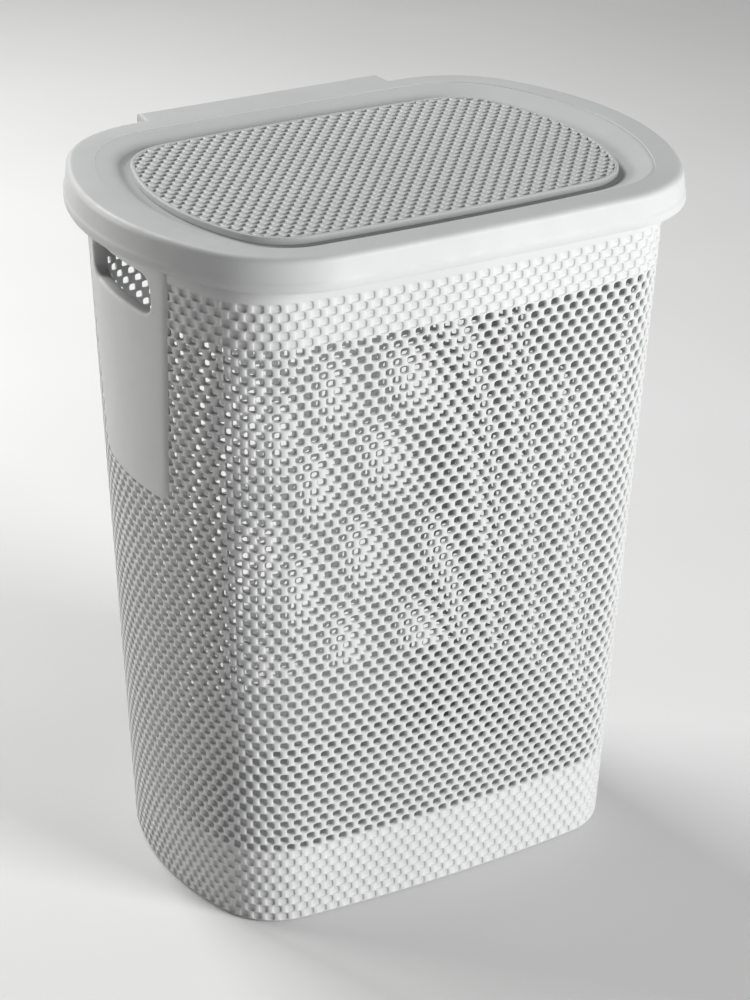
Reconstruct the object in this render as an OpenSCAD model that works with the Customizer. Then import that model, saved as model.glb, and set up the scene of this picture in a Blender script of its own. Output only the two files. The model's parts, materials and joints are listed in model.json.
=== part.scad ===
// Laundry hamper with a hinged lid. Millimetres, +Z up, origin at the centre of the flat underside.

/* [Basket] */
// Length of the basket at the floor, along X
base_l = 355; // [300:1:430]
// Depth of the basket at the floor, along Y
base_w = 232; // [190:1:280]
// Length of the basket at its rim
rim_l = 414; // [350:1:500]
// Depth of the basket at its rim
rim_w = 285; // [240:1:345]
// Overall height with the lid closed
total_h = 544.5; // [440:0.5:660]
// Radius of the upright corners at the floor
base_corner_r = 52; // [35:1:65]
// Radius of the upright corners at the rim
rim_corner_r = 58; // [40:1:72]
// Distance that the front and back bow outward at the rim
side_bow = 16.7; // [5:0.1:20]
// Distance that the two ends bow outward at the rim
end_bow = 42.3; // [30:0.1:48]
// Thickness of the wall
wall = 3; // [2:0.1:4]
// Thickness of the floor
floor_t = 3; // [2:0.1:5]
// Radius of the rounded edge round the floor
foot_r = 4; // [2:0.5:8]

/* [Rim] */
// Thickness of the flange that turns outward at the rim
flange_t = 2.5; // [2:0.1:4]
// Height of the lip that turns down from the flange
flange_lip = 7; // [5:0.5:10]
// Gap between the flange and the inside of the lid's skirt
flange_gap = 2.5; // [1.5:0.5:5]

/* [Grips] */
// Length of the grip slot
grip_l = 94; // [70:1:115]
// Height of the grip slot
grip_h = 30; // [24:1:36]
// Corner radius of the grip slot
grip_r = 10; // [6:1:11]
// Distance of the slot's top edge below the rim
grip_drop = 38; // [34:1:50]
// Distance of the grip behind the middle of the end wall
grip_offset = 9; // [0:1:15]
// Depth of the collar that turns inward round the slot
collar_depth = 9; // [6:0.5:12]
// Thickness of the collar
collar_t = 2.5; // [2:0.1:3.5]
// Half the width of the smooth grip panel, at the rim
panel_top_w = 66; // [58:1:75]
// Half the width of the smooth grip panel, at its lower edge
panel_low_w = 49; // [40:1:57]
// Height of the panel's lower edge above the floor
panel_low_z = 336; // [250:1:380]
// Radius of the panel's lower corners
panel_corner_r = 10; // [5:1:20]
// Distance that the panel stands proud of the wall
panel_proud = 1.2; // [0.6:0.1:2]

/* [Lid] */
// Distance that each end of the lid reaches past the basket's rim
lid_end_overhang = 16; // [16:0.5:30]
// Distance that each side of the lid reaches past the basket's rim
lid_side_overhang = 19.5; // [19.5:0.5:30]
// Corner radius of the lid
lid_corner_r = 88; // [70:1:95]
// Distance that the lid's long sides bow outward
lid_side_bow = 5; // [3:0.1:14]
// Distance that the lid's ends bow outward
lid_end_bow = 56; // [34:0.5:58]
// Height of the lid's skirt
skirt_h = 24; // [22:0.5:26]
// Thickness of the lid's wall
lid_t = 2.5; // [2:0.1:3]
// Radius of the rounded edge at the top of the skirt
edge_r = 5; // [3:0.5:6]
// Height of the slightly flared band at the bottom of the skirt
lip_h = 6; // [4:0.5:8]
// Distance that the flared band stands proud
lip_proud = 1; // [0.5:0.1:1.5]
// Distance from the inside of the basket's wall to the edge of the lid's dish
dish_gap = 1; // [1:0.5:3]
// Depth of the gutter below the flat rim
gutter_depth = 8.5; // [8.5:0.5:10]

/* [Lid panel] */
// Distance from each end of the lid to the woven panel
insert_end_margin = 51; // [49:0.5:70]
// Distance from each side of the lid to the woven panel
insert_side_margin = 48; // [47:0.5:65]
// Corner radius of the woven panel
insert_corner_r = 48; // [36:1:52]
// Distance that the panel's long sides bow outward
insert_side_bow = 7.4; // [3:0.1:12]
// Distance that the panel's ends bow outward
insert_end_bow = 30.7; // [16:0.1:32]
// Distance of the panel's face below the flat rim
insert_drop = 3.1; // [2:0.1:4]
// Thickness of the panel
insert_t = 2; // [1.6:0.1:2.5]
// Width of the frame's seat that the panel rests on
seat_w = 6; // [4:0.5:9]

/* [Hinge] */
// Length of the straight hood over the hinge
hood_l = 208; // [170:1:230]
// Distance that the hood reaches behind the lid
hood_reach = 13; // [13:0.5:16]
// Radius of the hinge pins
pin_r = 2.5; // [2:0.1:3]
// Radius of the knuckles round the pins
knuckle_r = 6; // [5:0.1:6.5]
// Distance of the hinge axis behind the lid's straight edge
axis_behind = 1; // [0:0.25:2]
// Height of the hinge axis above the skirt's lower edge
axis_up = 7.5; // [7:0.25:9]
// Distance of each hinge's middle from the middle of the lid
hinge_x = 72; // [50:1:80]
// Width of each of the lid's hinge lugs
lug_w = 20; // [14:1:26]
// Thickness of each of the basket's hinge ears
ear_t = 4; // [3:0.5:5]

/* [Clearances] */
// Gap between the lid's underside and the basket's rim
seat_gap = 0.3; // [0.2:0.1:0.5]
// Gap round the panel's spigot in the frame, and under its edge
insert_gap = 0.1; // [0.05:0.05:0.2]
// Gap at each side of a hinge lug
lug_side_gap = 0.5; // [0.3:0.1:1]
// Radial clearance of a pin in the basket's ears
pin_ear_gap = 0.02; // [0.01:0.01:0.05]
// Radial clearance of a pin in the lid's lug
pin_lug_gap = 0.08; // [0.04:0.01:0.1]

/* [Hidden] */

LEFT = -1;
RIGHT = 1;
END_STEPS = 6;
CORNER_STEPS = 10;
SIDE_STEPS = 5;
EDGE_STEPS = 4;
EPS = 0.01;

lid_l = rim_l + 2 * lid_end_overhang;
lid_w = rim_w + 2 * lid_side_overhang;
insert_l = lid_l - 2 * insert_end_margin;
insert_w = lid_w - 2 * insert_side_margin;
rim_band = lid_side_overhang + wall + dish_gap;
rim_z = total_h - lid_t - seat_gap;
skirt_z = total_h - skirt_h;
gutter_z = total_h - gutter_depth;
insert_z = total_h - insert_drop;
axis_y = lid_w / 2 + axis_behind;
axis_z = skirt_z + axis_up;
pin_head_r = knuckle_r - 1.5;
pin_head_t = 2;
ear_span = lug_w + 2 * lug_side_gap;
grip_top_z = rim_z - grip_drop;
grip_low_z = grip_top_z - grip_h;
spigot_h = lid_t + 1.5;
skirt_draft = lip_proud + 1;
skirt_inset = lid_t + skirt_draft;
inner_edge = edge_r - 2;
gutter_share = 0.9;

// An outline is [half length, half depth, corner radius, side bow radius, end bow radius]
rim_shape = outline_shape(rim_l, rim_w, rim_corner_r, side_bow, end_bow);
base_shape = [base_l / 2, base_w / 2, base_corner_r, rim_shape[3], rim_shape[4]];
lid_shape = outline_shape(lid_l, lid_w, lid_corner_r, lid_side_bow, lid_end_bow);
insert_shape = outline_shape(insert_l, insert_w, insert_corner_r, insert_side_bow, insert_end_bow);

// Radius of an arc that rises by the bow over the length
function bow_radius(length, bow) = length * length / (8 * bow);
function outline_shape(l, w, corner_r, long_bow, short_bow) =
    [l / 2, w / 2, corner_r, bow_radius(l, long_bow), bow_radius(w, short_bow)];
function mix_shapes(a, b, t) = a * (1 - t) + b * t;
function inset_shape(s, d) = s - [d, d, d, d, d];
function basket_shape(z) = mix_shapes(base_shape, rim_shape, z / rim_z);

// Centre of the corner arc, which touches the side bow and the end bow from inside
function corner_centre(s) =
    let (
        side_centre = [0, s[1] - s[3]],
        end_centre = [s[0] - s[4], 0],
        side_reach = s[3] - s[2],
        end_reach = s[4] - s[2],
        span = norm(end_centre - side_centre),
        along = (end_centre - side_centre) / span,
        u = (span * span + side_reach * side_reach - end_reach * end_reach) / (2 * span),
        h = sqrt(side_reach * side_reach - u * u)
    )
    side_centre + u * along + h * [along.y, -along.x];

function arc(centre, r, from, to, steps) =
    [for (i = [0 : steps - 1])
        let (a = from + (to - from) * i / steps)
        centre + r * [cos(a), sin(a)]];

// One quarter of an outline, from the end's middle up to just before the side's middle
function quarter(s) =
    let (
        c = corner_centre(s),
        side_centre = [0, s[1] - s[3]],
        end_centre = [s[0] - s[4], 0],
        end_a = atan2(c.y, c.x - end_centre.x),
        side_a = atan2(c.y - side_centre.y, c.x)
    )
    concat(
        arc(end_centre, s[4], 0, end_a, END_STEPS),
        arc(c, s[2], end_a, side_a, CORNER_STEPS),
        arc(side_centre, s[3], side_a, 90, SIDE_STEPS)
    );

function reversed(list) = [for (i = [len(list) - 1 : -1 : 0]) list[i]];
function tail(list) = [for (i = [1 : len(list) - 1]) list[i]];

function outline(s) =
    let (
        q = quarter(s),
        back = concat(q, [[0, s[1]]], [for (p = reversed(tail(q))) [-p.x, p.y]])
    )
    concat(back, [for (p = back) -p]);

// A closed skin through a stack of outlines, each given as [height, outline]
module loft(levels) {
    rings = [for (level = levels) [for (p = outline(level[1])) [p.x, p.y, level[0]]]];
    n = len(rings[0]);
    last = len(rings) - 1;
    points = [for (ring = rings) for (p = ring) p];
    sides = [for (k = [0 : last - 1])
        for (i = [0 : n - 1])
            let (j = (i + 1) % n)
            [k * n + i, (k + 1) * n + i, (k + 1) * n + j, k * n + j]];
    floor_face = [for (i = [0 : n - 1]) i];
    top_face = [for (i = [n - 1 : -1 : 0]) last * n + i];
    polyhedron(points = points, faces = concat([floor_face], sides, [top_face]), convexity = 6);
}

module slab(s, z, h) {
    translate([0, 0, z])
        linear_extrude(h)
            polygon(outline(s));
}

module ring_slab(outer, inner, z, h) {
    translate([0, 0, z])
        linear_extrude(h)
            difference() {
                polygon(outline(outer));
                polygon(outline(inner));
            }
}

// A flat shape drawn in the plane of the end wall, carried along X between two distances
module along_x(from, to) {
    translate([from, 0, 0])
        rotate([90, 0, 90])
            linear_extrude(to - from)
                children();
}

module rounded_rect(w, h, r) {
    union() {
        square([w - 2 * r, h], center = true);
        square([w, h - 2 * r], center = true);
        for (x = [-1, 1], y = [-1, 1])
            translate([x * (w / 2 - r), y * (h / 2 - r)])
                circle(r, $fn = 48);
    }
}

// Levels that round the edge at the floor of the basket
function foot_levels() =
    [for (i = [0 : EDGE_STEPS])
        let (a = 90 * i / EDGE_STEPS, z = foot_r * (1 - cos(a)))
        [z, inset_shape(basket_shape(z), foot_r * (1 - sin(a)))]];

module basket_outer(grow) {
    loft([
        [panel_low_z - panel_corner_r, inset_shape(basket_shape(panel_low_z - panel_corner_r), -grow)],
        [rim_z - EPS, inset_shape(basket_shape(rim_z - EPS), -grow)]
    ]);
}

module basket_tub() {
    loft(concat(foot_levels(), [[rim_z, basket_shape(rim_z)]]));
}

module basket_cavity() {
    loft([
        [floor_t, inset_shape(basket_shape(floor_t), wall + foot_r)],
        [floor_t + foot_r, inset_shape(basket_shape(floor_t + foot_r), wall)],
        [rim_z + 1, inset_shape(basket_shape(rim_z + 1), wall)]
    ]);
}

module basket_flange() {
    outer = inset_shape(lid_shape, skirt_inset + inner_edge + flange_gap);
    union() {
        ring_slab(outer, inset_shape(basket_shape(rim_z), wall / 2), rim_z - flange_t, flange_t);
        ring_slab(outer, inset_shape(outer, flange_t), rim_z - flange_lip, flange_lip);
    }
}

// The smooth panel's outline on the end wall, Y across and Z up
module grip_panel_outline() {
    low = panel_low_z + panel_corner_r;
    translate([grip_offset, 0])
        union() {
            polygon([
                [-panel_low_w, low],
                [panel_low_w, low],
                [panel_top_w, rim_z],
                [-panel_top_w, rim_z]
            ]);
            translate([0, low])
                square([2 * (panel_low_w - panel_corner_r), 2 * panel_corner_r], center = true);
            for (side = [-1, 1])
                translate([side * (panel_low_w - panel_corner_r), low])
                    circle(panel_corner_r, $fn = 48);
        }
}

module grip_outline(grow) {
    translate([grip_offset, (grip_top_z + grip_low_z) / 2])
        rounded_rect(grip_l + 2 * grow, grip_h + 2 * grow, grip_r + grow);
}

module grip_panels() {
    intersection() {
        basket_outer(panel_proud);
        along_x(-rim_l, rim_l)
            grip_panel_outline();
    }
}

module grip_collars() {
    reach = rim_l / 2 - collar_depth - wall;
    intersection() {
        basket_outer(0);
        union() {
            for (side = [LEFT, RIGHT])
                along_x(side == LEFT ? -rim_l : reach, side == LEFT ? -reach : rim_l)
                    grip_outline(collar_t);
        }
    }
}

module grip_slots() {
    along_x(-rim_l, rim_l)
        grip_outline(0);
}

// Ears of one hinge: plates that reach back from the wall to the pin
module hinge_ears(side) {
    for (face = [-1, 1]) {
        x = side * hinge_x + face * (ear_span + ear_t) / 2 - ear_t / 2;
        translate([x, 0, 0])
            union() {
                translate([0, axis_y, axis_z])
                    rotate([0, 90, 0])
                        cylinder(h = ear_t, r = knuckle_r, $fn = 64);
                translate([0, base_w / 2, axis_z - knuckle_r])
                    cube([ear_t, axis_y - base_w / 2, 2 * knuckle_r]);
            }
    }
}

module pin_hole(side, r) {
    translate([side * hinge_x - lug_w, axis_y, axis_z])
        rotate([0, 90, 0])
            cylinder(h = 2 * lug_w, r = r, $fn = 64);
}

module basket() {
    color("gainsboro")
        difference() {
            union() {
                difference() {
                    union() {
                        basket_tub();
                        grip_panels();
                        basket_flange();
                        for (side = [LEFT, RIGHT])
                            hinge_ears(side);
                    }
                    basket_cavity();
                }
                grip_collars();
            }
            grip_slots();
            for (side = [LEFT, RIGHT])
                pin_hole(side, pin_r + pin_ear_gap);
        }
}

// Levels of the lid's outside: flared band, skirt, and the rounded edge at the top
function lid_levels() =
    concat(
        [
            [skirt_z, lid_shape],
            [skirt_z + lip_h, lid_shape],
            [skirt_z + lip_h + lip_proud, inset_shape(lid_shape, lip_proud)]
        ],
        [for (i = [0 : EDGE_STEPS])
            let (a = 90 * i / EDGE_STEPS)
            [total_h - edge_r * (1 - sin(a)), inset_shape(lid_shape, skirt_draft + edge_r * (1 - cos(a)))]]
    );

module lid_hollow() {
    loft([
        [skirt_z - 1, inset_shape(lid_shape, lid_t)],
        [total_h - lid_t - inner_edge, inset_shape(lid_shape, skirt_inset)],
        [total_h - lid_t, inset_shape(lid_shape, skirt_inset + inner_edge)]
    ]);
}

// The dish in the top of the lid: a slope from the flat rim down to the gutter
module dish(top_z, low_z, rim_inset) {
    loft([
        [low_z, mix_shapes(lid_shape, insert_shape, gutter_share)],
        [top_z, inset_shape(lid_shape, rim_inset)]
    ]);
}

module hood_block(trim, z0, z1) {
    translate([-hood_l / 2 + trim, lid_w / 4, z0])
        cube([hood_l - 2 * trim, lid_w / 4 + hood_reach - trim, z1 - z0]);
}

module hinge_lug(side) {
    x = side * hinge_x - lug_w / 2;
    union() {
        translate([x, axis_y, axis_z])
            rotate([0, 90, 0])
                cylinder(h = lug_w, r = knuckle_r, $fn = 64);
        translate([x, axis_y - knuckle_r, axis_z])
            cube([lug_w, 2 * knuckle_r, total_h - lid_t / 2 - axis_z]);
    }
}

module lid_frame() {
    color("lightgray")
        difference() {
            union() {
                difference() {
                    union() {
                        loft(lid_levels());
                        hood_block(0, skirt_z, total_h);
                    }
                    lid_hollow();
                    hood_block(lid_t, skirt_z - 1, total_h - lid_t);
                }
                dish(total_h - EPS, gutter_z - lid_t, rim_band - lid_t);
                for (side = [LEFT, RIGHT])
                    hinge_lug(side);
            }
            dish(total_h + EPS, gutter_z, rim_band);
            slab(inset_shape(insert_shape, seat_w), gutter_z - lid_t - 1, lid_t + 2);
            for (side = [LEFT, RIGHT])
                pin_hole(side, pin_r + pin_lug_gap);
        }
}

module lid_panel() {
    spigot = inset_shape(insert_shape, seat_w + insert_gap);
    low = gutter_z + insert_gap;
    color("silver")
        union() {
            slab(insert_shape, insert_z - insert_t, insert_t);
            ring_slab(insert_shape, inset_shape(insert_shape, insert_t), low, insert_z - low);
            ring_slab(spigot, inset_shape(spigot, insert_t), gutter_z - spigot_h, insert_z - gutter_z + spigot_h);
        }
}

module hinge_pin(side) {
    length = ear_span + 2 * ear_t;
    head_x = side * (hinge_x + length / 2);
    color("darkgray")
        translate([0, axis_y, axis_z])
            union() {
                translate([side * hinge_x - length / 2, 0, 0])
                    rotate([0, 90, 0])
                        cylinder(h = length, r = pin_r, $fn = 64);
                translate([side == LEFT ? head_x - pin_head_t : head_x, 0, 0])
                    rotate([0, 90, 0])
                        cylinder(h = pin_head_t, r = pin_head_r, $fn = 64);
            }
}

basket();
lid_frame();
lid_panel();
hinge_pin(LEFT);  // hinge_pin_left
hinge_pin(RIGHT);  // hinge_pin_right
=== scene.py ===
"""Laundry hamper with a hinged lid, in light grey moulded plastic with a basket-weave relief.

Shapes are worked out in millimetres and become metres when a mesh is made. +Y is the hinge side.
Depth is measured inwards from the CAD model's outer face.
"""
import json
from math import cos, pi, radians, sin

import bpy
import numpy as np
from mathutils import Matrix, Vector


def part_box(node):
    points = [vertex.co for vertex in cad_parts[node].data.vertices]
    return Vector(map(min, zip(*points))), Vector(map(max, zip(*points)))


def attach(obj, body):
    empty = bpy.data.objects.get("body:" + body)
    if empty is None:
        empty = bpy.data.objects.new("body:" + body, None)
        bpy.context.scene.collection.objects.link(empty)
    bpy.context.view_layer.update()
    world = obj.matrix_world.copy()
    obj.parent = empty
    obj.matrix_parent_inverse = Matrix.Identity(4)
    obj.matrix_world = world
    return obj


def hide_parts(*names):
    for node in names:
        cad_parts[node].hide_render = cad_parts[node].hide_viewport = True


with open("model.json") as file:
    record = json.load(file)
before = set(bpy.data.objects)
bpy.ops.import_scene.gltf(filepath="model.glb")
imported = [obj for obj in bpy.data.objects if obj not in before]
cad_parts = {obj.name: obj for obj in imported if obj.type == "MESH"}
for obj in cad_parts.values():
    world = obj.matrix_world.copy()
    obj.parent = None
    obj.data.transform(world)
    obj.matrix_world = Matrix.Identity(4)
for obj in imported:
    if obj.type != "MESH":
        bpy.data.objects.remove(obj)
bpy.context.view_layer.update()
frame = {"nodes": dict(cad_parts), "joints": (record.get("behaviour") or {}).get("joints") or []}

# Places read from the frame
LID_LOW, LID_HIGH = [corner * 1000 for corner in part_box("lid_frame")]
BASKET_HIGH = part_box("basket")[1] * 1000
PANEL_LOW, PANEL_HIGH = [corner * 1000 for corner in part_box("lid_panel")]
AXIS_Y, AXIS_Z = [1000 * v for v in frame["joints"][0]["pos_m"][1:]]
RIM_Z = BASKET_HIGH.z
SKIRT_Z = LID_LOW.z
TOP_Z = LID_HIGH.z

# Basket
BASE_L, BASE_W, BASE_CORNER_R = 355, 232, 52
RIM_L, RIM_W, RIM_CORNER_R = 414, 285, 58
SIDE_BOW, END_BOW = 16.7, 42.3
WALL = 3
FLOOR_T = 3
FOOT_R = 4
FLANGE_T, FLANGE_LIP = 2.5, 7
FLANGE_INSET = LID_HIGH.x - BASKET_HIGH.x

# Weave of the wall
ROW_H = 6.8
ROWS = 74
FIRST_HOLE_ROW, LAST_HOLE_ROW = 9, 68
COLUMNS = 102
WEAVE_Z = 2.1
LOW_PITCH, HIGH_PITCH = 10.55, 11.34
CREASE = 0.2
BAND_ROWS = (0, 9, 19, 29, 39, 49, 59, 69, 74)

# Grip
GRIP_Y = 9
GRIP_L, GRIP_H, GRIP_R = 94, 30, 10
GRIP_DROP = 38
GRIP_Z = RIM_Z - GRIP_DROP - GRIP_H / 2
COLLAR_DEPTH, COLLAR_T = 9, 2.5
SLOT_EDGE_R = 3
GRIP_PANEL_TOP, GRIP_PANEL_LOW, GRIP_PANEL_Z, GRIP_PANEL_R = 66, 49, 336, 10
GRIP_PANEL_END_Z = RIM_Z - FLANGE_T - 0.1
GRIP_PROUD, GRIP_SUNK = 1.2, 3.2
GRIP_BEVEL, GRIP_FACE_INSET = 4, 3.8
COVERED = 1.5

# Lid
LID_T = 2.5
LID_CORNER_R, LID_SIDE_BOW, LID_END_BOW = 88, 5, 56
LIP_H, LIP_PROUD = 6, 1
SKIRT_DRAFT = 2
EDGE_R = 5
RIM_BAND = 23.5
CREASE_STEP = 0.55
GUTTER_DEPTH = 8.5
GUTTER_Z = TOP_Z - GUTTER_DEPTH
GUTTER_SHARE = 0.9
SEAT_W = 6
HOOD_HALF = 104
HOOD_Y = LID_HIGH.y
HOOD_EDGE_R = 2.5
REAR_STEPS = 48

# Woven panel in the lid
INSERT_CORNER_R, INSERT_SIDE_BOW, INSERT_END_BOW = 48, 7.4, 30.7
INSERT_T = 2
INSERT_PITCH, INSERT_ROW = 10.8, 6.55
BEAD_W = 3.2
INSERT_DEEPER = 1.25

# Hinge
HINGE_X, LUG_W, EAR_T, KNUCKLE_R, PIN_R = 72, 20, 4, 6, 2.5
LUG_GAP = 0.5
BORE_GAP = 0.08

# Shares of a ring's size, for the rings that close a flat face
TO_CENTRE = (0.8, 0.55, 0.3, 0.1)

# What the lamps point at, in metres
AIM = (0, 0, 0.3)

# One weave cell: the loops of its recess as [half width, half height, depth], in cells and millimetres
RECESS = ((0.35, 0.485, 0.12), (0.305, 0.45, 0.75), (0.265, 0.41, 1.3))
HOLE_MOUTH = (0.25, 0.385, 1.65)
HOLE = (0.245, 0.375)
CELL_U = np.array([2, 2, 2, 1, 0, -1, -2, -2, -2, -2, -2, -1, 0, 1, 2, 2]) / 4
CELL_V = np.array([0, 1, 2, 2, 2, 2, 2, 1, 0, -1, -2, -2, -2, -2, -2, -1]) / 4
CELL_N = len(CELL_U)
TOP_POWER, LOW_POWER = 3.2, 5


def bow_radius(length, bow):
    """Radius of an arc that rises by the bow over the length."""
    return length ** 2 / (8 * bow)


def outline_shape(length, width, corner_r, side_bow, end_bow):
    """Half length, half width, corner radius, side radius and end radius of a bowed outline."""
    side_r, end_r = bow_radius(length, side_bow), bow_radius(width, end_bow)
    return np.array([length / 2, width / 2, corner_r, side_r, end_r])


def inset(shape, distance):
    return np.asarray(shape) - distance


def mix(a, b, t):
    return a * (1 - t) + b * t


RIM_SHAPE = outline_shape(RIM_L, RIM_W, RIM_CORNER_R, SIDE_BOW, END_BOW)
BASE_SHAPE = np.array([BASE_L / 2, BASE_W / 2, BASE_CORNER_R, RIM_SHAPE[3], RIM_SHAPE[4]])
LID_SHAPE = outline_shape(2 * LID_HIGH.x, -2 * LID_LOW.y, LID_CORNER_R, LID_SIDE_BOW, LID_END_BOW)
INSERT_SHAPE = outline_shape(
    2 * PANEL_HIGH.x, 2 * PANEL_HIGH.y, INSERT_CORNER_R, INSERT_SIDE_BOW, INSERT_END_BOW)


def quarter_arcs(shape):
    """The arcs of a quarter outline: corner centre, joining angles, and side, corner and end lengths."""
    a, b, r, side_r, end_r = shape
    span_x, span_y = a - end_r, side_r - b
    span = np.hypot(span_x, span_y)
    u = (span ** 2 + (side_r - r) ** 2 - (end_r - r) ** 2) / (2 * span)
    h = np.sqrt((side_r - r) ** 2 - u ** 2)
    x = (u * span_x + h * span_y) / span
    y = b - side_r + (u * span_y - h * span_x) / span
    end_a = np.arctan2(y, x - span_x)
    side_a = np.arctan2(y + span_y, x)
    return x, y, end_a, side_a, side_r * (pi / 2 - side_a), r * (side_a - end_a), end_r * end_a


def quarter_point(shape, s):
    """Point and outward normal at arc length s from the side's middle, where X and Y are positive."""
    a, b, r, side_r, end_r = shape
    x, y, end_a, side_a, side_len, corner_len, _ = quarter_arcs(shape)
    on_side = s < side_len
    on_end = s > side_len + corner_len
    angle = np.where(on_side, pi / 2 - s / side_r, side_a - (s - side_len) / r)
    angle = np.where(on_end, end_a - (s - side_len - corner_len) / end_r, angle)
    centre_x = np.where(on_side, 0, np.where(on_end, a - end_r, x))
    centre_y = np.where(on_side, b - side_r, np.where(on_end, 0, y))
    radius = np.where(on_side, side_r, np.where(on_end, end_r, r))
    nx, ny = np.cos(angle), np.sin(angle)
    return centre_x + radius * nx, centre_y + radius * ny, nx, ny


def fold(column):
    """Signs of X and Y, and columns from the side's middle, for columns counted from the front's middle."""
    column = np.mod(column, COLUMNS)
    quarter = COLUMNS / 4
    sign_x = np.where(column < 2 * quarter, 1, -1)
    sign_y = np.where((column < quarter) | (column > 3 * quarter), -1, 1)
    return sign_x, sign_y, quarter - np.abs(np.mod(column, 2 * quarter) - quarter)


def ring_at(shape, z, columns):
    """Points round an outline, at columns shared out evenly along each quarter."""
    sign_x, sign_y, w = fold(columns)
    s = w * 4 / COLUMNS * sum(quarter_arcs(shape)[4:])
    x, y, _, _ = quarter_point(shape, s)
    return np.stack([sign_x * x, sign_y * y, np.full(len(x), float(z))], 1)


def wall_point(column, z, depth):
    """Points at a depth inside the basket's outer face, by weave column and height."""
    column, z, depth = np.broadcast_arrays(np.asarray(column, float), z, depth)
    t = z / RIM_Z
    shape = [mix(low, high, t) for low, high in zip(BASE_SHAPE, RIM_SHAPE)]
    sign_x, sign_y, w = fold(column)
    pitch = mix(LOW_PITCH, HIGH_PITCH, t)
    quarter = COLUMNS / 4
    s = pitch * w + (sum(quarter_arcs(shape)[4:]) - pitch * quarter) * (w / quarter) ** 3
    x, y, nx, ny = quarter_point(shape, s)
    foot = np.clip(1 - z / FOOT_R, 0, 1)
    depth = depth + FOOT_R * (1 - np.sqrt(1 - foot ** 2))
    return np.stack([sign_x * (x - nx * depth), sign_y * (y - ny * depth), z], 1)


def row_z(row):
    """Height of the lower boundary of a weave row."""
    return WEAVE_Z + ROW_H * row


def superellipse(half_u, half_v):
    """A rounded loop along the rays of a cell's boundary points, rounder above than below."""
    power = np.where(CELL_V > 0, TOP_POWER, LOW_POWER)
    reach = ((np.abs(CELL_U) / half_u) ** power + (np.abs(CELL_V) / half_v) ** power) ** (-1 / power)
    return CELL_U * reach, CELL_V * reach


def band_faces(first, second):
    """Quads between two closed loops of vertex numbers, the last axis running round."""
    after_first, after_second = np.roll(first, -1, -1), np.roll(second, -1, -1)
    return np.stack([first, after_first, after_second, second], -1).reshape(-1, 4)


def fan_faces(loop, centre):
    """Triangles from closed loops to their centre vertices."""
    centre = np.broadcast_to(np.asarray(centre)[..., None], loop.shape)
    return np.stack([loop, np.roll(loop, -1, -1), centre], -1).reshape(-1, 3)


# ---- meshes

def weld(points, faces, tolerance=0.002):
    """Merges vertices that coincide, and drops the faces that vanish."""
    keys = np.round(points / tolerance).astype(np.int64)
    _, first, back = np.unique(keys, axis=0, return_index=True, return_inverse=True)
    back = back.reshape(-1)
    made = []
    for group in faces:
        group = back[group]
        same = group == np.roll(group, -1, 1)
        made.append(group[~same.any(1)])
        if group.shape[1] == 4:
            once = group[same.sum(1) == 1]
            gone = same[same.sum(1) == 1]
            made.append(once[~gone].reshape(-1, 3))
    return points[first], made


def new_mesh(name, points, faces, normals=None, crisp=35):
    """A mesh from points in millimetres and arrays of faces, smooth but for bends of more than crisp."""
    faces = [group for group in faces if len(group)]
    mesh = bpy.data.meshes.new(name)
    mesh.vertices.add(len(points))
    mesh.vertices.foreach_set("co", (points * 0.001).astype(np.float32).ravel())
    corners = np.concatenate([group.ravel() for group in faces])
    counts = np.concatenate([np.full(len(group), group.shape[1]) for group in faces])
    mesh.loops.add(len(corners))
    mesh.loops.foreach_set("vertex_index", corners.astype(np.int32))
    mesh.polygons.add(len(counts))
    mesh.polygons.foreach_set("loop_start", (np.cumsum(counts) - counts).astype(np.int32))
    mesh.update(calc_edges=True)
    mesh.validate()
    mesh.shade_smooth()
    if normals is None:
        mesh.set_sharp_from_angle(angle=radians(crisp))
    else:
        mesh.normals_split_custom_set_from_vertices(normals.tolist())
    return mesh


def piece(name, body, slot, material, points, faces, **options):
    """An object that rides on a CAD body, with the given material; the slot argument is not used."""
    thing = bpy.data.objects.new(name, new_mesh(name, np.asarray(points, float), faces, **options))
    thing.data.materials.append(material)
    bpy.context.scene.collection.objects.link(thing)
    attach(thing, body)
    return thing


def loft(rings, closed=False, flip=False):
    """Points and quads of a skin through rings of equal count; closed joins the last ring to the first."""
    count = len(rings[0])
    index = np.arange(count * len(rings)).reshape(len(rings), count)
    pairs = list(zip(index, index[1:]))
    if closed:
        pairs.append((index[-1], index[0]))
    quads = np.concatenate([band_faces(a, b) for a, b in pairs])
    return np.concatenate(rings), quads[:, ::-1] if flip else quads


def vertex_normals(points, quads, triangles):
    """Area-weighted normals of the whole mesh, so that its bands join without a seam."""
    total = np.zeros_like(points)
    for group in (quads, triangles):
        first = points[group[:, 2]] - points[group[:, 0]]
        second = points[group[:, -1]] - points[group[:, 1]]
        normal = np.cross(first, second)
        for corner in group.T:
            for axis in range(3):
                total[:, axis] += np.bincount(corner, normal[:, axis], len(points))
    return total / np.maximum(np.linalg.norm(total, axis=1, keepdims=True), 1e-9)


# ---- materials

def shader_noise(nodes, links, coordinates, scale, detail):
    noise = nodes.new("ShaderNodeTexNoise")
    noise.inputs["Scale"].default_value = scale
    noise.inputs["Detail"].default_value = detail
    links.new(coordinates, noise.inputs["Vector"])
    return noise.outputs["Fac"]


def spread(nodes, links, value, low, high):
    """Maps the middle of a noise to a range."""
    node = nodes.new("ShaderNodeMapRange")
    node.inputs["From Min"].default_value = 0.3
    node.inputs["From Max"].default_value = 0.7
    node.inputs["To Min"].default_value = low
    node.inputs["To Max"].default_value = high
    links.new(value, node.inputs["Value"])
    return node.outputs["Result"]


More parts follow.
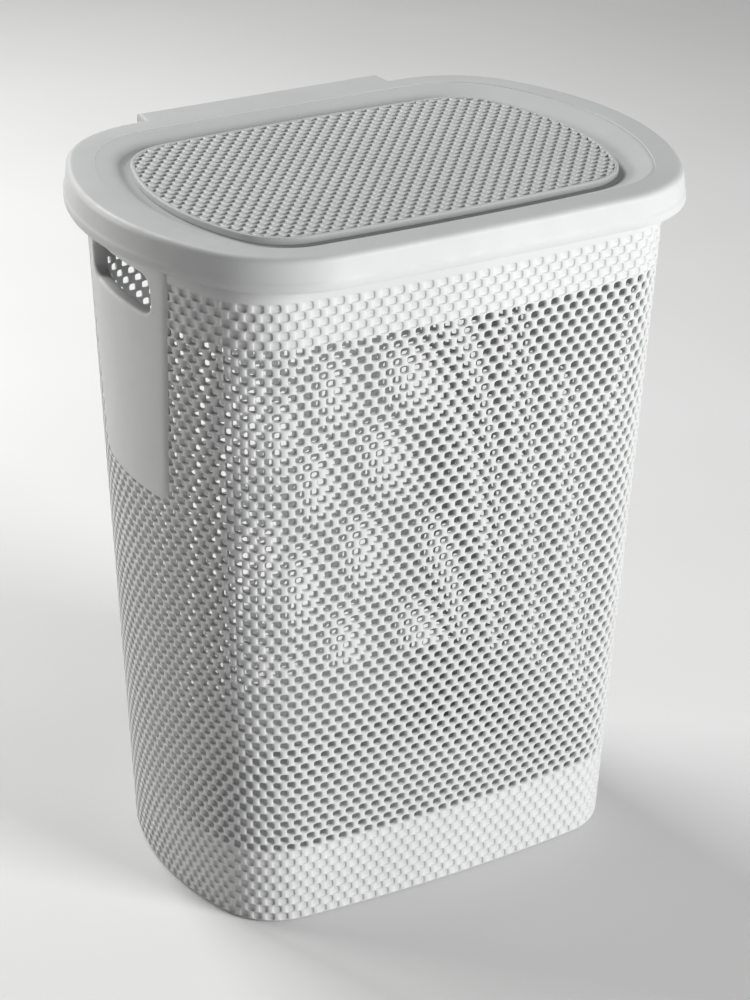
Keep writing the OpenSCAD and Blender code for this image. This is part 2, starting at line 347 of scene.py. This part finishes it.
def moulded_plastic(name, colour, roughness, grain):
    """Satin polypropylene: faint flow mottling in the colour, uneven gloss and a fine moulded grain."""
    material = bpy.data.materials.new(name)
    material.use_nodes = True
    nodes, links = material.node_tree.nodes, material.node_tree.links
    shader = nodes["Principled BSDF"]
    shader.inputs["IOR"].default_value = 1.49
    shader.inputs["Specular IOR Level"].default_value = 0.3
    place = nodes.new("ShaderNodeTexCoord").outputs["Object"]

    mottle = nodes.new("ShaderNodeMix")
    mottle.data_type = "RGBA"
    mottle.inputs["A"].default_value = (*[0.965 * c for c in colour], 1)
    mottle.inputs["B"].default_value = (*[min(1.02 * c, 1) for c in colour], 1)
    cloud = shader_noise(nodes, links, place, scale=14, detail=4)
    links.new(spread(nodes, links, cloud, 0, 1), mottle.inputs["Factor"])
    links.new(mottle.outputs["Result"], shader.inputs["Base Color"])

    gloss = shader_noise(nodes, links, place, scale=90, detail=3)
    links.new(spread(nodes, links, gloss, roughness - 0.05, roughness + 0.06), shader.inputs["Roughness"])

    bump = nodes.new("ShaderNodeBump")
    bump.inputs["Strength"].default_value = grain
    bump.inputs["Distance"].default_value = 0.0002
    links.new(shader_noise(nodes, links, place, scale=1900, detail=2), bump.inputs["Height"])
    links.new(bump.outputs["Normal"], shader.inputs["Normal"])
    return material


# ---- basket

def grip_outline(grow):
    """The grip slot's outline about its centre, grown outwards."""
    r = GRIP_R + grow
    half_y, half_z = GRIP_L / 2 - GRIP_R, GRIP_H / 2 - GRIP_R
    points = []
    for quarter, (sy, sz) in enumerate(((1, 1), (-1, 1), (-1, -1), (1, -1))):
        for step in range(9):
            a = pi / 2 * (quarter + step / 8)
            points.append((sy * half_y + r * cos(a), sz * half_z + r * sin(a)))
    return densify(points)


def densify(points, spacing=4):
    """A closed outline with points added along its straight stretches."""
    made = []
    for (x0, y0), (x1, y1) in zip(points, points[1:] + points[:1]):
        count = max(1, round(float(np.hypot(x1 - x0, y1 - y0)) / spacing))
        made += [(mix(x0, x1, i / count), mix(y0, y1, i / count)) for i in range(count)]
    return np.array(made)


def grip_panel_outline(shrink):
    """The smooth panel's outline about the slot's centre, with its sides and foot shrunk."""
    r = GRIP_PANEL_R - shrink
    top = GRIP_PANEL_END_Z - GRIP_Z
    low = GRIP_PANEL_Z + GRIP_PANEL_R - GRIP_Z
    corner_y = GRIP_PANEL_LOW - GRIP_PANEL_R
    points = [(GRIP_PANEL_TOP - shrink, top), (shrink - GRIP_PANEL_TOP, top)]
    for quarter, side in ((2, -1), (3, 1)):
        for step in range(9):
            a = pi / 2 * (quarter + step / 8)
            points.append((side * corner_y + r * cos(a), low + r * sin(a)))
    return densify(points)


def radius_at(outline, angles):
    """Distance of a star-shaped outline from its centre in each direction."""
    own = np.arctan2(outline[:, 1], outline[:, 0])
    return np.interp(angles, own, np.hypot(*outline.T), period=2 * pi)


def end_point(side, y, z, depth):
    """Points at a depth inside the basket's bowed end wall."""
    half_l = mix(BASE_L / 2, RIM_L / 2, z / RIM_Z)
    radius = RIM_SHAPE[4]
    angle = np.arcsin(y / radius)
    x = half_l - radius + (radius - depth) * np.cos(angle)
    return np.stack([side * x, (radius - depth) * np.sin(angle), z], 1)


def grip_profile():
    """Rings as [share of the way from slot to panel edge, slot growth, panel edge shrink, depth]."""
    wide = -GRIP_BEVEL
    rings = [(1, 0, wide, GRIP_SUNK), (1, 0, wide, 0.2), (1, 0, wide + 0.2, 0)]
    rings += [(1, 0, -0.2, -0.95), (1, 0, 1.2, -1.15)]
    for share in (1, 0.85, 0.7, 0.55, 0.4, 0.27, 0.16, 0.07, 0):
        rings.append((share, SLOT_EDGE_R, GRIP_FACE_INSET, -GRIP_PROUD))
    for step in range(1, 7):
        a = pi / 2 * step / 6
        rings.append((0, SLOT_EDGE_R * (1 - sin(a)), 0, SLOT_EDGE_R * (1 - cos(a)) - GRIP_PROUD))
    end_r = COLLAR_T / 2
    for step in range(7):
        a = pi * step / 6
        rings.append((0, end_r * (1 - cos(a)), 0, COLLAR_DEPTH - end_r + end_r * sin(a)))
    for growth, rise in ((0, 1), (0.3, 0.3), (1, 0)):
        rings.append((0, COLLAR_T + growth, 0, GRIP_SUNK + rise))
    rings += [(share, 1, 0, GRIP_SUNK) for share in (0.1, 0.3, 0.5, 0.75)]
    return rings


def grip_panel(name, side, material):
    """The smooth panel, the rounded slot through it and the collar behind, as one closed skin."""
    outlines = np.concatenate([grip_outline(0), grip_panel_outline(0)])
    angles = np.unique(np.round(np.arctan2(outlines[:, 1], outlines[:, 0]), 4))
    rings = []
    for share, growth, shrink, depth in grip_profile():
        slot = radius_at(grip_outline(growth), angles)
        edge = radius_at(grip_panel_outline(shrink), angles)
        r = mix(slot, edge, share)
        z = np.minimum(GRIP_Z + r * np.sin(angles), GRIP_PANEL_END_Z)
        rings.append(end_point(side, GRIP_Y + r * np.cos(angles), z, depth))
    points, quads = loft(rings, closed=True, flip=side < 0)
    return piece(name, "basket", "basket_plastic", material, points, [quads])


def under_panel(column, z, margin):
    """True for wall points that lie beneath a grip panel, by more than the margin."""
    x, y, _ = wall_point(column, z, 0).T
    share = np.clip((z - GRIP_PANEL_Z - GRIP_PANEL_R) / (RIM_Z - GRIP_PANEL_Z - GRIP_PANEL_R), 0, 1)
    half = mix(GRIP_PANEL_LOW, GRIP_PANEL_TOP, share)
    low = np.clip(GRIP_PANEL_Z + GRIP_PANEL_R - z, 0, GRIP_PANEL_R)
    half = half - GRIP_PANEL_R + np.sqrt(GRIP_PANEL_R ** 2 - low ** 2)
    on_end = np.abs(x) > RIM_L / 2 - RIM_CORNER_R
    return on_end & (np.abs(y - GRIP_Y) < half - margin) & (z > GRIP_PANEL_Z + margin)


def weave_cells():
    """Row, column of the centre and quarter-column number of every cell of the wall."""
    row, number = [v.ravel() for v in np.meshgrid(np.arange(ROWS), np.arange(COLUMNS), indexing="ij")]
    odd = row % 2
    return row, number, number + odd / 2, 4 * number + 2 * odd


class WallWeave:
    """The woven wall's vertices and faces: recesses in staggered rows, through holes in most of them."""

    def __init__(self):
        self.row, self.number, self.centre, self.quarter = weave_cells()
        self.parts = []
        self.count = 0

    def add(self, column, z, depth):
        """Adds vertices and returns their numbers, in the same array shape."""
        column, z, depth = np.broadcast_arrays(column, z, depth)
        self.parts.append(wall_point(column.ravel(), z.ravel(), depth.ravel()))
        numbers = np.arange(self.count, self.count + column.size).reshape(column.shape)
        self.count += column.size
        return numbers

    def boundary(self, skin_depth, crease):
        """Vertex numbers of every cell's boundary loop; neighbours share them."""
        low_z = WALL + FOOT_R if skin_depth else 0
        line_z = np.maximum(row_z(np.arange(ROWS + 1)), low_z)
        lines = self.add(np.arange(4 * COLUMNS)[None, :] / 4, line_z[:, None], skin_depth + crease)
        side_v = np.array([-1, 0, 1]) / 4
        side_z = mix(line_z[self.row, None], line_z[self.row + 1, None], 0.5 + side_v)
        sides = self.add(self.centre[:, None] - 0.5, side_z, skin_depth)
        right = np.where(self.number == COLUMNS - 1, np.arange(len(self.row)) - COLUMNS + 1,
                         np.arange(len(self.row)) + 1)
        loop = np.empty((len(self.row), CELL_N), int)
        for k, (u, v) in enumerate(zip(CELL_U, CELL_V)):
            if abs(v) == 0.5:
                loop[:, k] = lines[self.row + (v > 0), (self.quarter + int(4 * u)) % (4 * COLUMNS)]
            else:
                source = sides[right] if u > 0 else sides
                loop[:, k] = source[:, int(4 * v) + 1]
        return loop

    def loop(self, cells, half_u, half_v, depth):
        """A loop inside each of the given cells."""
        u, v = superellipse(half_u, half_v)
        return self.add(self.centre[cells, None] + u, row_z(self.row[cells, None] + 0.5 + v), depth)


def wall_mesh():
    """Points, normals, and the quads and triangles with the cell row that each is in."""
    weave = WallWeave()
    outer = weave.boundary(0, CREASE)
    inner = weave.boundary(WALL, 0)
    corners = [k for k in range(CELL_N) if abs(CELL_U[k]) == 0.5 and abs(CELL_V[k]) == 0.5]
    hidden = np.ones(len(weave.row), bool)
    for k in corners:
        z = row_z(weave.row + 0.5 + CELL_V[k])
        hidden &= under_panel(weave.centre + CELL_U[k], z, COVERED)
    holed = (weave.row >= FIRST_HOLE_ROW) & (weave.row <= LAST_HOLE_ROW)
    open_cells = np.flatnonzero(holed & ~hidden)
    blind_cells = np.flatnonzero(~holed & ~hidden)
    quads, triangles, quad_row, triangle_row = [], [], [], []

    def keep(faces, cells):
        target, rows = (quads, quad_row) if faces.shape[1] == 4 else (triangles, triangle_row)
        target.append(faces)
        rows.append(np.repeat(weave.row[cells], len(faces) // len(cells)))

    for cells, through in ((open_cells, True), (blind_cells, False)):
        last = outer[cells]
        for half_u, half_v, depth in RECESS + ((HOLE_MOUTH,) if through else ()):
            ring = weave.loop(cells, half_u, half_v, depth)
            keep(band_faces(last, ring), cells)
            last = ring
        if through:
            keep(band_faces(last, weave.loop(cells, *HOLE, WALL)), cells)
            keep(band_faces(weave.loop(cells, *HOLE, WALL), inner[cells]), cells)
        else:
            centre = weave.add(weave.centre[cells], row_z(weave.row[cells] + 0.5), RECESS[-1][2] + 0.05)
            keep(fan_faces(last, centre), cells)
            low, high = np.maximum(row_z(weave.row[cells] + np.array([[0], [1]])), WALL + FOOT_R)
            back = weave.add(weave.centre[cells], (low + high) / 2, WALL)
            keep(fan_faces(inner[cells], back)[:, ::-1], cells)
    points = np.concatenate(weave.parts)
    quads, triangles = np.concatenate(quads), np.concatenate(triangles)
    normals = vertex_normals(points, quads, triangles)
    return points, normals, quads, np.concatenate(quad_row), triangles, np.concatenate(triangle_row)


def wall_bands(material):
    """The wall in bands of rows, which share their normals where they meet."""
    points, normals, quads, quad_row, triangles, triangle_row = wall_mesh()
    for number, (low, high) in enumerate(zip(BAND_ROWS, BAND_ROWS[1:])):
        chosen = [quads[(quad_row >= low) & (quad_row < high)],
                  triangles[(triangle_row >= low) & (triangle_row < high)]]
        used = np.unique(np.concatenate([group.ravel() for group in chosen]))
        renumber = np.zeros(len(points), int)
        renumber[used] = np.arange(len(used))
        band = piece(f"wall_band_{number + 1}", "basket", "basket_plastic", material, points[used],
                     [renumber[group] for group in chosen], normals=normals[used])
        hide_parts("basket")


def foot_and_floor(material):
    """The rounded foot with its underside, and the floor inside."""
    columns = np.arange(4 * COLUMNS) / 4
    under = [wall_point(columns, row_z(0), CREASE)]
    under += [wall_point(columns, z, 0) for z in (1.4, 0.8, 0.35, 0.08, 0)]
    for distance, z in ((11, 0), (12, 0.3), (12.6, 0.8)):
        under.append(ring_at(inset(BASE_SHAPE, distance), z, columns))
    inside = []
    for step in range(7):
        a = pi / 2 * step / 6
        z = FLOOR_T + FOOT_R * (1 - sin(a))
        inside.append(wall_inset(columns, z, WALL + FOOT_R * (1 - cos(a))))
    faces, points, start = [], [], 0
    for rings, flip in ((under, True), (inside, False)):
        part, quads = loft(rings + [rings[-1] * (f, f, 1) for f in TO_CENTRE], flip=flip)
        centre = np.array([[0, 0, rings[-1][0, 2]]])
        loop = np.arange(len(part) - len(columns), len(part))
        fan = fan_faces(loop, len(part))
        points += [part, centre]
        faces += [quads + start, (fan[:, ::-1] if flip else fan) + start]
        start += len(part) + 1
    return piece("foot_and_floor", "basket", "basket_plastic", material, np.concatenate(points), faces)


def wall_inset(columns, z, distance):
    """A ring inside the wall at the wall's own columns, without the foot's rounding."""
    ring = wall_point(columns, max(z, FOOT_R), distance)
    return ring * (1, 1, 0) + (0, 0, z)


def rim_and_flange(material):
    """The plain strip above the weave, and the flange that turns out and down from it."""
    columns = np.arange(4 * COLUMNS) / 4
    top, low = row_z(ROWS), RIM_Z - FLANGE_T
    flange = inset(LID_SHAPE, FLANGE_INSET)

    def wall(z, depth):
        return wall_point(columns, z, depth)

    def lip(z, distance):
        return ring_at(inset(flange, distance), z, columns)

    foot = RIM_Z - FLANGE_LIP
    rings = [wall(top, CREASE), wall(top + 0.8, 0), wall(top + 12, 0)]
    rings += [wall(low - 1, 0), wall(low - 0.3, -0.3), wall(low, -1)]
    rings += [lip(low, FLANGE_T + 0.8), lip(low - 0.2, FLANGE_T + 0.2), lip(low - 0.8, FLANGE_T)]
    rings += [lip(foot + 0.6, FLANGE_T - 0.2), lip(foot, FLANGE_T - 0.8)]
    rings += [lip(foot, 0.8), lip(foot + 0.2, 0.2), lip(foot + 0.8, 0)]
    rings += [lip(RIM_Z - 1, 0), lip(RIM_Z - 0.3, 0.3), lip(RIM_Z, 1)]
    rings += [wall(RIM_Z, WALL - 1), wall(RIM_Z - 0.3, WALL - 0.3), wall(RIM_Z - 1, WALL), wall(top, WALL)]
    points, quads = loft(rings)
    return piece("rim_and_flange", "basket", "basket_plastic", material, points, [quads])


def bored_plate(name, body, slot, material, x0, x1, reach):
    """A plate round the hinge axis with a bore, whose outline reach gives by angle, and softened edges."""
    angles = np.linspace(0, 2 * pi, 64, endpoint=False)
    bore = np.full(len(angles), PIN_R + BORE_GAP)
    outer = np.array([reach(a) for a in angles])
    soft = 0.4
    rings = []
    for x, r in ((x0 + soft, bore), (x0, bore + soft), (x0, outer - soft), (x0 + soft, outer),
                 (x1 - soft, outer), (x1, outer - soft), (x1, bore + soft), (x1 - soft, bore)):
        rings.append(np.stack([np.full(len(angles), float(x)), AXIS_Y + r * np.cos(angles),
                               AXIS_Z + r * np.sin(angles)], 1))
    points, quads = loft(rings, closed=True)
    return piece(name, body, slot, material, points, [quads])


def slab_reach(direction, length):
    """Outline about the axis: a half circle, carried on as a bar of its width towards the direction."""
    def reach(a):
        along = cos(a - direction)
        across = abs(sin(a - direction))
        if along <= 0:
            return KNUCKLE_R
        return min(KNUCKLE_R / max(across, 1e-6), length / along)
    return reach


def hinges(basket_material, lid_material):
    """Two ears on the basket and one lug on the lid at each hinge."""
    wall_y = RIM_W / 2 - WALL / 2
    lug_height = TOP_Z - LID_T / 2 - AXIS_Z
    for side, label in ((-1, "left"), (1, "right")):
        middle = side * HINGE_X
        for face, place in ((-1, "a"), (1, "b")):
            near = middle + face * (LUG_W / 2 + LUG_GAP)
            x0, x1 = sorted((near, near + face * EAR_T))
            bored_plate(f"ear_{label}_{place}", "basket", "basket_plastic", basket_material, x0, x1,
                        slab_reach(pi, AXIS_Y - wall_y))
        bored_plate(f"lug_{label}", "lid", "lid_plastic", lid_material,
                    middle - LUG_W / 2, middle + LUG_W / 2, slab_reach(pi / 2, lug_height))


# ---- lid

def lid_plan(steps_x=26, quarter_steps=96):
    """The lid's columns: plain ones as shares of a quarter, and the hood's as places along X."""
    plain = np.linspace(0, 1, quarter_steps)
    hood = np.linspace(-1, 1, 2 * steps_x + 1)
    return plain, hood


def side_arc_y(shape, x):
    """Y of the outline's rear side arc at a place along X."""
    return shape[1] - shape[3] + np.sqrt(shape[3] ** 2 - x ** 2)


def lid_ring(shape, z, hood=None):
    """A ring of the lid's outline, counterclockwise from the front's middle, with the hood at the rear.

    hood is [shrink, height] of the hood's own edge, or None where the ring passes in front of it.
    """
    plain, places = lid_plan()
    side_len, corner_len, end_len = quarter_arcs(shape)[4:]
    total = side_len + corner_len + end_len
    x, y, _, _ = quarter_point(shape, plain * total)
    front = np.stack([x, -y], 1)
    hood_s = shape[3] * np.arcsin(HOOD_HALF / shape[3])
    s = mix(total, hood_s, np.linspace(0, 1, REAR_STEPS)[1:])
    bx, by, _, _ = quarter_point(shape, s)
    back = np.stack([bx, by], 1)
    half = np.concatenate([front, back])
    heights = np.full(len(half), float(z))
    hood_x = -places * HOOD_HALF
    hood_y = side_arc_y(shape, hood_x)
    hood_z = np.full(len(places), float(z))
    if hood is not None:
        shrink, hood_height = hood
        hood_x = -places * (HOOD_HALF - shrink)
        hood_y = np.full(len(places), HOOD_Y - shrink)
        hood_z[:] = hood_height
    right = np.column_stack([half, heights])
    rear = np.column_stack([hood_x, hood_y, hood_z])
    left = right[:0:-1] * (-1, 1, 1)
    return np.concatenate([right, rear, left])


def lid_top_rings():
    """The lid's skin from the skirt's lower edge up and over the rim, and down into the gutter."""
    rings = []
    for distance, rise in ((0.7, 0), (0.2, 0.2), (0, 0.7)):
        z = SKIRT_Z + rise
        rings.append(lid_ring(inset(LID_SHAPE, distance), z, (distance, z)))
    step_z = SKIRT_Z + LIP_H
    for share, rise in ((0, -0.6), (0.15, 0), (0.5, 0.9), (0.85, 1.8), (1, 2.6)):
        z = step_z + rise
        rings.append(lid_ring(inset(LID_SHAPE, LIP_PROUD * share), z, (0, z)))
    steps = 8
    for step in range(steps + 1):
        a = pi / 2 * step / steps
        shrink = SKIRT_DRAFT + EDGE_R * (1 - cos(a))
        z = TOP_Z - EDGE_R * (1 - sin(a))
        hood = (HOOD_EDGE_R * (1 - cos(a)), TOP_Z - HOOD_EDGE_R * (1 - sin(a)))
        rings.append(lid_ring(inset(LID_SHAPE, shrink), z, hood))
    rings.append(lid_ring(inset(LID_SHAPE, SKIRT_DRAFT + EDGE_R + 1), TOP_Z))
    low_shape = mix(LID_SHAPE, INSERT_SHAPE, GUTTER_SHARE)
    top_shape = inset(LID_SHAPE, RIM_BAND)
    for distance, drop in ((RIM_BAND - 0.8, 0), (RIM_BAND - 0.45, 0.08), (RIM_BAND - 0.15, CREASE_STEP)):
        rings.append(lid_ring(inset(LID_SHAPE, distance), TOP_Z - drop))
    for share in (0.08, 0.14, 0.35, 0.65, 0.9):
        rings.append(lid_ring(mix(top_shape, low_shape, share), mix(TOP_Z, GUTTER_Z, share)))
    rings.append(lid_ring(mix(top_shape, low_shape, 0.985), GUTTER_Z + 0.25))
    rings.append(lid_ring(inset(low_shape, 0.8), GUTTER_Z))
    rings.append(lid_ring(inset(INSERT_SHAPE, SEAT_W), GUTTER_Z))
    return rings


def lid_under_rings():
    """The lid's inner skin, from the hole for the panel out to the skirt's lower edge."""
    low_shape = mix(LID_SHAPE, INSERT_SHAPE, GUTTER_SHARE)
    top_shape = inset(LID_SHAPE, RIM_BAND - LID_T)
    floor_z = GUTTER_Z - LID_T
    roof_z = TOP_Z - LID_T
    rings = [lid_ring(inset(INSERT_SHAPE, SEAT_W), floor_z), lid_ring(inset(low_shape, 1), floor_z)]
    rings += [lid_ring(low_shape, floor_z + 0.4)]
    meet = (roof_z - floor_z) / (TOP_Z - floor_z)
    for share in (0.35, 0.7, 0.95):
        rings.append(lid_ring(mix(low_shape, top_shape, meet * share), mix(floor_z, roof_z, share)))
    rings.append(lid_ring(inset(mix(low_shape, top_shape, meet), -0.8), roof_z))
    outer = SKIRT_DRAFT + LID_T
    rings.append(lid_ring(inset(LID_SHAPE, outer + EDGE_R - 1), roof_z, (LID_T + 1.5, roof_z)))
    rings.append(lid_ring(inset(LID_SHAPE, outer + 1), roof_z - 1, (LID_T + 0.4, roof_z - 0.4)))
    rings.append(lid_ring(inset(LID_SHAPE, outer), roof_z - 3, (LID_T, roof_z - 1.5)))
    for distance, rise in ((LID_T, 0.7), (LID_T - 0.2, 0.2), (LID_T - 0.7, 0)):
        z = SKIRT_Z + rise
        rings.append(lid_ring(inset(LID_SHAPE, distance), z, (distance, z)))
    return rings


def lid_frame(material):
    """The lid's moulded frame with its skirt, flat rim, gutter and straight hood over the hinge."""
    points, quads = loft(lid_top_rings() + lid_under_rings(), closed=True)
    points, faces = weld(points, [quads])
    frame_piece = piece("lid_shell", "lid", "lid_plastic", material, points, faces)
    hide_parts("lid_frame")
    return frame_piece


def insert_distance(x, y):
    """Distance of points inside the woven panel's outline, measured along the ray from its centre."""
    angles, radii = insert_rays()
    return np.interp(np.arctan2(y, x), angles, radii, period=2 * pi) - np.hypot(x, y)


def insert_rays():
    """The woven field's outline as angles and radii."""
    columns = np.arange(8 * COLUMNS) / 8
    ring = ring_at(inset(INSERT_SHAPE, BEAD_W - 0.6), 0, columns)
    return np.arctan2(ring[:, 1], ring[:, 0]), np.hypot(ring[:, 0], ring[:, 1])


def insert_weave():
    """The woven field of the lid's panel: blind recesses in staggered rows, cut off at the bead."""
    half_rows = int(np.ceil(PANEL_HIGH.y / INSERT_ROW)) + 1
    half_cells = int(np.ceil(PANEL_HIGH.x / INSERT_PITCH)) + 1
    rows, numbers = np.meshgrid(np.arange(-half_rows, half_rows), np.arange(-half_cells, half_cells + 1))
    rows, numbers = rows.ravel(), numbers.ravel()
    centre_x = (numbers + (rows % 2) / 2) * INSERT_PITCH
    centre_y = (rows + 0.5) * INSERT_ROW
    touched = np.zeros(len(rows), bool)
    for u, v in zip(CELL_U, CELL_V):
        touched |= insert_distance(centre_x + u * INSERT_PITCH, centre_y + v * INSERT_ROW) > 0
    centre_x, centre_y = centre_x[touched, None], centre_y[touched, None]
    loops = [(CELL_U, CELL_V, np.where(np.abs(CELL_V) == 0.5, CREASE, 0))]
    loops += [(*superellipse(half_u, half_v), INSERT_DEEPER * depth) for half_u, half_v, depth in RECESS]
    points, faces, last, count = [], [], None, 0
    for u, v, depth in loops:
        x, y = centre_x + u * INSERT_PITCH, centre_y + v * INSERT_ROW
        z = np.broadcast_to(PANEL_HIGH.z - 0.1 - depth, x.shape)
        points.append(np.stack([x, y, z], -1).reshape(-1, 3))
        ring = np.arange(count, count + x.size).reshape(x.shape)
        count += x.size
        if last is not None:
            faces.append(band_faces(last, ring))
        last = ring
    deepest = PANEL_HIGH.z - 0.15 - INSERT_DEEPER * RECESS[-1][2]
    middle = np.column_stack([centre_x, centre_y, np.full(len(centre_x), deepest)])
    points.append(middle)
    faces.append(fan_faces(last, np.arange(count, count + len(middle))))
    points = np.concatenate(points)
    outside = insert_distance(points[:, 0], points[:, 1])
    reach = np.hypot(points[:, 0], points[:, 1])
    scale = np.where(outside < 0, (reach + outside) / reach, 1)
    points[:, :2] *= scale[:, None]
    return points, faces


def lid_panel(material):
    """The woven panel: its field, the smooth bead round it, the edge and the spigot below."""
    columns = np.arange(4 * COLUMNS) / 4
    top = PANEL_HIGH.z
    bead = [(BEAD_W, top - 1.2), (BEAD_W - 0.5, top - 0.35), (BEAD_W - 1.1, top - 0.05), (BEAD_W - 1.6, top)]
    bead += [(1.1, top), (0.5, top - 0.15), (0.12, top - 0.6), (0, top - 1.2)]
    edge_z = GUTTER_Z + 0.1
    bead += [(0, edge_z + 0.4), (0.3, edge_z), (INSERT_T, edge_z), (INSERT_T, top - INSERT_T - 0.5)]
    bead += [(INSERT_T + 0.5, top - INSERT_T)]
    spigot = SEAT_W + 0.1
    bead += [(spigot - 0.5, top - INSERT_T), (spigot, top - INSERT_T - 0.5), (spigot, PANEL_LOW.z + 0.4)]
    bead += [(spigot + 0.4, PANEL_LOW.z), (spigot + INSERT_T - 0.4, PANEL_LOW.z)]
    bead += [(spigot + INSERT_T, PANEL_LOW.z + 0.4), (spigot + INSERT_T, top - INSERT_T - 0.6)]
    bead += [(spigot + INSERT_T + 0.6, top - INSERT_T)]
    rings = [ring_at(inset(INSERT_SHAPE, distance), z, columns) for distance, z in bead]
    rings += [rings[-1] * (f, f, 1) for f in TO_CENTRE]
    shell, quads = loft(rings, flip=True)
    centre = np.array([[0, 0, top - INSERT_T]])
    fan = fan_faces(np.arange(len(shell) - len(columns), len(shell)), len(shell))[:, ::-1]
    body = piece("woven_panel_shell", "lid", "panel_plastic", material, np.concatenate([shell, centre]),
                 [quads, fan])
    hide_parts("lid_panel")
    points, faces = weld(*insert_weave())
    return piece("woven_panel_field", "lid", "panel_plastic", material, points, faces, crisp=80)


# ---- stage, light and camera

def stage_sheet(material):
    """A pale floor that curves up into a backdrop behind the hamper."""
    front_y, back_y, half_width = -12.0, 6.5, 12.0
    bend_r, top_z = 1.5, 9.0
    profile = [(front_y, 0.0), (back_y, 0.0)]
    for step in range(1, 17):
        a = pi / 2 * step / 16
        profile.append((back_y + bend_r * sin(a), bend_r * (1 - cos(a))))
    profile.append((back_y + bend_r, top_z))
    points = [(x * 1000, y * 1000, z * 1000) for y, z in profile for x in (-half_width, half_width)]
    faces = [[2 * i, 2 * i + 1, 2 * i + 3, 2 * i + 2] for i in range(len(profile) - 1)]
    mesh = new_mesh("stage_floor", np.array(points, float), [np.array(faces)])
    sheet = bpy.data.objects.new("stage_floor", mesh)
    sheet.data.materials.append(material)
    bpy.context.scene.collection.objects.link(sheet)


def floor_material():
    """Matt light grey with a barely visible cloudiness."""
    material = bpy.data.materials.new("pale_floor")
    material.use_nodes = True
    nodes, links = material.node_tree.nodes, material.node_tree.links
    shader = nodes["Principled BSDF"]
    shader.inputs["Roughness"].default_value = 0.7
    shader.inputs["Specular IOR Level"].default_value = 0.2
    place = nodes.new("ShaderNodeTexCoord").outputs["Object"]
    tone = nodes.new("ShaderNodeMix")
    tone.data_type = "RGBA"
    tone.inputs["A"].default_value = (0.60, 0.60, 0.597, 1)
    tone.inputs["B"].default_value = (0.62, 0.62, 0.62, 1)
    cloud = shader_noise(nodes, links, place, scale=3, detail=2)
    links.new(spread(nodes, links, cloud, 0, 1), tone.inputs["Factor"])
    links.new(tone.outputs["Result"], shader.inputs["Base Color"])
    return material


def area_light(name, place, size, watts, colour=(1, 1, 1)):
    """A soft lamp aimed at the middle of the hamper."""
    data = bpy.data.lights.new(name, "AREA")
    data.shape = "RECTANGLE"
    data.size, data.size_y = size
    data.energy = watts
    data.color = colour
    lamp = bpy.data.objects.new(name, data)
    lamp.location = place
    lamp.rotation_mode = "QUATERNION"
    lamp.rotation_quaternion = (Vector(AIM) - Vector(place)).to_track_quat("-Z", "Y")
    bpy.context.scene.collection.objects.link(lamp)


def lights():
    """A key light from the front right, two soft ones from behind and above, and a dim white surround."""
    area_light("key", place=(1.5, -2.9, 1.1), size=(1.3, 1.3), watts=155)
    area_light("rear_left", place=(-1.9, 2.3, 1.2), size=(1.0, 0.8), watts=50, colour=(1, 0.985, 0.96))
    area_light("overhead", place=(-0.4, 2.0, 2.0), size=(1.1, 0.8), watts=62)
    world = bpy.data.worlds.new("studio")
    bpy.context.scene.world = world
    world.use_nodes = True
    background = world.node_tree.nodes["Background"]
    background.inputs["Color"].default_value = (1, 1, 1, 1)
    background.inputs["Strength"].default_value = 0.16


def camera():
    """The photograph's view: from the front left and above, with a long lens."""
    azimuth, elevation, roll = radians(31.43), radians(23.33), radians(0.9)
    target, distance = Vector((0.01925, 0, 0.35973)), 2.18181
    back = Vector((-sin(azimuth) * cos(elevation), -cos(azimuth) * cos(elevation), sin(elevation)))
    right = Vector((cos(azimuth), -sin(azimuth), 0))
    up = back.cross(right)
    rolled_right = cos(roll) * right + sin(roll) * up
    rolled_up = -sin(roll) * right + cos(roll) * up
    data = bpy.data.cameras.new("camera")
    data.lens = 104.94
    data.shift_x, data.shift_y = -0.0194, -0.1115
    data.clip_end = 50
    view = bpy.data.objects.new("camera", data)
    turn = Matrix((rolled_right, rolled_up, back)).transposed()
    view.matrix_world = Matrix.Translation(target + back * distance) @ turn.to_4x4()
    bpy.context.scene.collection.objects.link(view)
    bpy.context.scene.camera = view


def main():
    bpy.context.scene.view_settings.view_transform = "Standard"
    basket_plastic = moulded_plastic("basket_plastic", (0.50, 0.508, 0.503), roughness=0.54, grain=0.25)
    lid_plastic = moulded_plastic("lid_plastic", (0.468, 0.478, 0.474), roughness=0.52, grain=0.3)
    panel_plastic = moulded_plastic("panel_plastic", (0.45, 0.46, 0.457), roughness=0.5, grain=0.25)
    pin_plastic = moulded_plastic("pin_plastic", (0.62, 0.63, 0.63), roughness=0.4, grain=0.2)
    wall_bands(basket_plastic)
    foot_and_floor(basket_plastic)
    rim_and_flange(basket_plastic)
    grip_panel("grip_panel_left", -1, basket_plastic)
    grip_panel("grip_panel_right", 1, basket_plastic)
    hinges(basket_plastic, lid_plastic)
    lid_frame(lid_plastic)
    lid_panel(panel_plastic)
    for name in ("hinge_pin_left", "hinge_pin_right"):
        frame["nodes"][name].data.materials.clear()
        frame["nodes"][name].data.materials.append(pin_plastic)
    stage_sheet(floor_material())
    lights()
    camera()


main()
